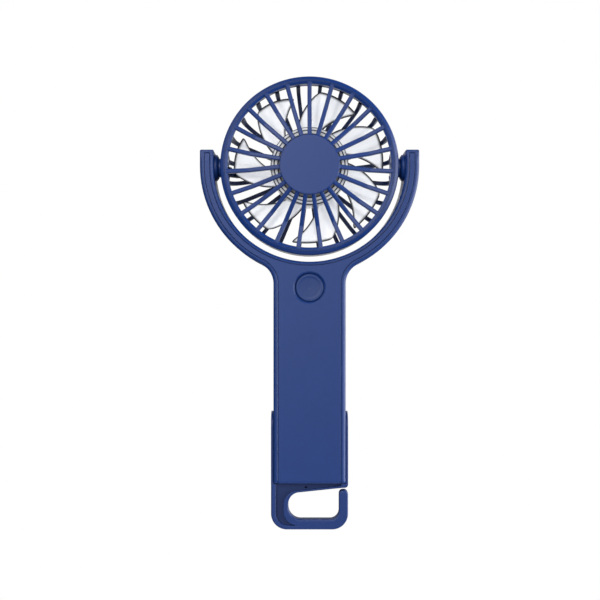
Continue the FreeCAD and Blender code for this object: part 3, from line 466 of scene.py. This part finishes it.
# Radius and depth in millimetres, the depth counted from the tilt axis, and the rim's value there: painted
# shade, dark on the rings, the lip and the middle disc.
HUB_TABLE = np.array([
    (1.6, -7.0, 0.8), (14.2, -7.0, 0.75), (14.4, -7.0, 1.0), (14.8, -7.0, 1.0), (15.0, -7.0, 0.12),
    (15.9, -7.0, 0.12), (16.1, -7.0, 1.0), (16.5, -7.0, 1.0), (16.7, -7.0, 0.10), (17.4, -6.9, 0.2),
    (17.6, -6.75, 1.0), (17.85, -6.5, 1.0), (18.0, -5.9, 1.0), (18.0, 8.8, 0.3), (17.8, 9.0, 1.0),
    (16.3, 9.0, 1.0), (16.1, 8.8, 0.3), (16.1, -5.6, 0.2), (15.7, -5.95, 0.2), (1.6, -5.95, 0.2),
])


def blade_points(u, v, lift):
    """A blade point: radius grows with u; the turn is start + lean * u + span * v, with the span drawn in near
    the tip by a quarter ellipse; the depth is v less a sine bulge; lift moves it along the axle."""
    near_tip = np.clip((u - CORNER_U) / (1.0 - CORNER_U), 0.0, 1.0)
    drawn_in = CORNER_CUT * (1.0 - np.sqrt(1.0 - near_tip ** 2))
    across = 0.5 + (v - 0.5) * (1.0 - drawn_in)
    radius = BLADE_ROOT_R + BLADE_REACH * u
    turn = BLADE_START + BLADE_LEAN * u + BLADE_SPAN * across
    deep = BLADE_FRONT + BLADE_DEPTH * (across - BLADE_BULGE * np.sin(math.pi * across)) + lift
    return np.stack([hub_x + radius * np.sin(turn), deep, hub_z + radius * np.cos(turn)], axis=-1)


def blade_grid():
    """Points, faces and rim values of one closed blade, leaning and twisted, before it is turned into place."""
    u = np.linspace(0.0, 1.0, BLADE_ROWS) ** ROW_POWER
    v = 0.5 - 0.5 * np.cos(math.pi * np.linspace(0.0, 1.0, BLADE_COLUMNS))
    u, v = np.meshgrid(u, v, indexing="ij")
    thick = BLADE_THICK * (EDGE_THICK + (1.0 - EDGE_THICK) * np.sin(math.pi * v)) * (1.0 - TIP_THINNING * u)
    front = blade_points(u, v, -0.5 * thick)
    back = blade_points(u, v, 0.5 * thick)
    loop = edge_loop(BLADE_ROWS, BLADE_COLUMNS)
    after = np.roll(loop, -1)
    count = BLADE_ROWS * BLADE_COLUMNS
    wall = np.stack([loop, loop + count, after + count, after], axis=-1)
    sheets = [grid_faces(BLADE_ROWS, BLADE_COLUMNS), grid_faces(BLADE_ROWS, BLADE_COLUMNS, count, True)]
    to_side = np.minimum(v, 1.0 - v) * (BLADE_ROOT_R + BLADE_REACH * u) * BLADE_SPAN
    to_tip = (1.0 - u) * BLADE_REACH
    rim = np.clip(RIM_FULL - np.minimum(to_side, to_tip) / RIM_WIDTH, 0.0, 1.0)
    points = np.concatenate([front.reshape(-1, 3), back.reshape(-1, 3)])
    return points, np.concatenate(sheets + [wall]), np.tile(rim.ravel(), 2)


def turned_points(profile, steps):
    """Points of a profile of (radius, y) in metres, turned once about the axle."""
    turn = np.linspace(0.0, 2.0 * math.pi, steps, endpoint=False)
    radius, y = profile.T
    x = hub_x + np.outer(np.sin(turn), radius)
    z = hub_z + np.outer(np.cos(turn), radius)
    return np.stack([x, np.broadcast_to(y, x.shape), z], axis=-1).reshape(-1, 3)


def ring_faces(steps, count):
    """Quads of a closed profile of count points turned through steps."""
    step, point = np.meshgrid(np.arange(steps), np.arange(count), indexing="ij")
    next_step, next_point = (step + 1) % steps, (point + 1) % count
    corners = [(step, point), (next_step, point), (next_step, next_point), (step, next_point)]
    return np.stack([s * count + p for s, p in corners], axis=-1).reshape(-1, 4)


def turned_about_axle(points, angle):
    """Points turned clockwise about the axle, seen from the front."""
    x, z = points[:, 0] - hub_x, points[:, 2] - hub_z
    turned_x = x * math.cos(angle) + z * math.sin(angle)
    turned_z = z * math.cos(angle) - x * math.sin(angle)
    return np.stack([hub_x + turned_x, points[:, 1], hub_z + turned_z], axis=-1)


hub_profile = HUB_TABLE[:, :2] * MM + np.array([0.0, hub_y])
all_points = [turned_points(hub_profile, HUB_STEPS)]
all_faces = [ring_faces(HUB_STEPS, len(hub_profile))]
all_rims = [np.tile(HUB_TABLE[:, 2], HUB_STEPS)]
blade, blade_faces, blade_rim = blade_grid()
filled = len(all_points[0])
for k in range(BLADE_COUNT):
    all_points.append(turned_about_axle(blade, 2.0 * math.pi * k / BLADE_COUNT))
    all_faces.append(blade_faces + filled)
    all_rims.append(blade_rim)
    filled += len(blade)
clear_impeller = piece(
    "clear_impeller", np.concatenate(all_points), np.concatenate(all_faces), "impeller", clear_plastic)
rim_attribute = clear_impeller.data.attributes.new("rim", "FLOAT", "POINT")
rim_attribute.data.foreach_set("value", np.concatenate(all_rims).astype(np.float32))
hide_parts("impeller")
print("impeller:", len(clear_impeller.data.polygons), "faces")

# %% [markdown]
# ## Give every CAD part its finish
# The rest of the fan keeps its CAD shape. A dictionary says which finish each node wears, and one loop puts it
# in the object's material slot.

# %% Dress the CAD nodes
finish_of = {
    navy_case: ["rear_shell", "pivot_bushes"],
    navy_cover: ["front_cover"],
    navy_head: ["front_grille", "head_ring", "trunnion_left", "trunnion_right"],
    navy_cage: ["rear_cage", "rear_grille"],
    navy_hook: ["hook_bracket"],
    navy_button: ["power_button"],
    plated_steel: ["shell_screws", "usb_c_socket", "stand_pins", "trunnion_clips", "bearing_front",
                   "bearing_rear", "stator_core", "rotor_cup", "motor_shaft", "shaft_clip"],
    brass_tube: ["bearing_tube"],
    copper_wire: ["stator_coils"],
    ferrite: ["ring_magnet"],
    green_board: ["main_board", "motor_board"],
    black_mould: ["board_chips", "tact_switch", "switch_plunger"],
    silver_pouch: ["battery"],
    grey_foam: ["battery_pad"],
    black_lead: ["battery_leads", "motor_lead_yoke", "motor_lead_head"],
    milky_lens: ["charge_led"],
    clear_plastic: ["impeller"],
}
for finish, names in finish_of.items():
    for name in names:
        mesh = frame["nodes"][name].data
        mesh.materials.clear()
        mesh.materials.append(finish)
print("dressed", sum(len(names) for names in finish_of.values()), "of", len(frame["nodes"]), "nodes")

# %% [markdown]
# ## Floor
# The fan is shown upright against white, as in a catalogue, so the floor is a pale disc well below it, where
# no shadow of the fan falls in the picture. A hard rim would show in a view from above. So the disc's paint
# thins out towards the edge: its alpha falls with the distance from the middle.

# %% Floor
FLOOR_DROP, FLOOR_R, FLOOR_SOLID_R, FLOOR_CORNERS = 0.55, 0.62, 0.12, 96
FLOOR_PALE, FLOOR_GREY, FLOOR_GLOW = rgba(0.90, 0.90, 0.90), rgba(0.86, 0.86, 0.87), 0.45
floor_z = cad_box[0][2] - FLOOR_DROP


def floor_finish(name):
    """Pale matte paint, faintly clouded, that thins to nothing at the disc's edge."""
    material, place, body = start(name)
    cloud = noise(place, 90.0, 3.0)
    solid, gone = (math.hypot(radius, floor_z) for radius in (FLOOR_SOLID_R, FLOOR_R))
    far = place.vector_math("LENGTH", place).ramp(solid, gone)
    feed(body, Base_Color=cloud.blend(FLOOR_PALE, FLOOR_GREY), Roughness=0.7 + 0.2 * cloud)
    feed(body, Alpha=1.0 - far, Emission_Color=WHITE, Emission_Strength=FLOOR_GLOW)
    return material


floor_turn = np.linspace(0.0, 2.0 * math.pi, FLOOR_CORNERS, endpoint=False)
floor_points = np.stack(
    [FLOOR_R * np.cos(floor_turn), FLOOR_R * np.sin(floor_turn), np.full(FLOOR_CORNERS, floor_z)], axis=-1)
floor_mesh = bpy.data.meshes.new("floor")
floor_mesh.from_pydata(floor_points.tolist(), [], [list(range(FLOOR_CORNERS))])
floor = bpy.data.objects.new("floor", floor_mesh)
bpy.context.scene.collection.objects.link(floor)
floor.data.materials.append(floor_finish("floor_paint"))
print("floor at z =", round(float(floor_z), 3))

# %% [markdown]
# ## Soft studio light
# A glossy part is drawn by what it reflects, so the light is painted on the world as five soft lobes: the key
# above on the left in front, a gentle one straight in front, a weak one in front on the right, a bright strip
# on the right that draws a pale line down the right-hand edges, and a broad one behind that lights the back.
# Below it is dim, which keeps undersides deep blue. What the camera sees directly, or through the clear
# blades, is plain white.

# %% World
# Direction, degrees from it where the light is gone and where it is full, and strength.
LOBES = [
    ((-0.42, -0.82, 0.46), 40.0, 12.0, 2.3),
    ((0.00, -1.00, 0.20), 42.0, 4.0, 0.70),
    ((0.72, -0.68, 0.10), 30.0, 8.0, 0.9),
    ((0.99, -0.10, 0.02), 34.0, 12.0, 5.5),
    ((0.35, 0.92, 0.28), 66.0, 20.0, 1.1),
]
AMBIENT = 0.07
world = bpy.data.worlds.new("studio")
bpy.context.scene.world = world
world.use_nodes = True
world.node_tree.nodes.clear()
toward = Shade(world.node_tree).node("ShaderNodeTexCoord", output="Generated")


def lobe(direction, wide_deg, full_deg, strength):
    """Soft patch of light: full within full_deg of a direction, and gone beyond wide_deg."""
    aim = np.array(direction, dtype=float)
    facing = toward.vector_math("DOT_PRODUCT", toward, tuple(aim / np.linalg.norm(aim)))
    outer, inner = math.cos(math.radians(wide_deg)), math.cos(math.radians(full_deg))
    return strength * facing.ramp(outer, inner, "SMOOTHSTEP")


light = AMBIENT
for lobe_values in LOBES:
    light = light + lobe(*lobe_values)
eye_ray = toward.node("ShaderNodeLightPath", output="Is Camera Ray")
seen = eye_ray.math("MAXIMUM", eye_ray, eye_ray.other("Is Transmission Ray"))
grey = toward.node("ShaderNodeCombineXYZ", {}, {0: light, 1: light, 2: light})
backdrop = toward.node("ShaderNodeBackground", {}, {"Color": seen.blend(grey, WHITE), "Strength": 1.0})
world_out = world.node_tree.nodes.new("ShaderNodeOutputWorld")
world.node_tree.links.new(backdrop.socket, world_out.inputs["Surface"])
print("world light:", len(LOBES), "lobes")

# %% [markdown]
# ## Camera
# The fan is looked at from straight in front, a little below the head, with a 50 mm lens. That low and near
# view is why the far side of the cage seems to hang below the near one.

# %% Camera
LENS_MM, SENSOR_MM = 50.0, 36.0
VIEW_WIDTH = 0.2745              # metres across the picture, at the cover's face
EYE_X, EYE_DROP = -4.39 * MM, 61.7 * MM
scene = bpy.context.scene
scene.view_settings.view_transform = "Standard"
scene.view_settings.look = "None"
lens = bpy.data.cameras.new("eye")
lens.lens = LENS_MM
lens.sensor_width = SENSOR_MM
camera = bpy.data.objects.new("eye", lens)
camera.location = (EYE_X, cover_low.y - VIEW_WIDTH * LENS_MM / SENSOR_MM, hub_z - EYE_DROP)
camera.rotation_euler = (math.pi / 2, 0.0, 0.0)
scene.collection.objects.link(camera)
scene.camera = camera
print("camera at", [round(v, 4) for v in camera.location])
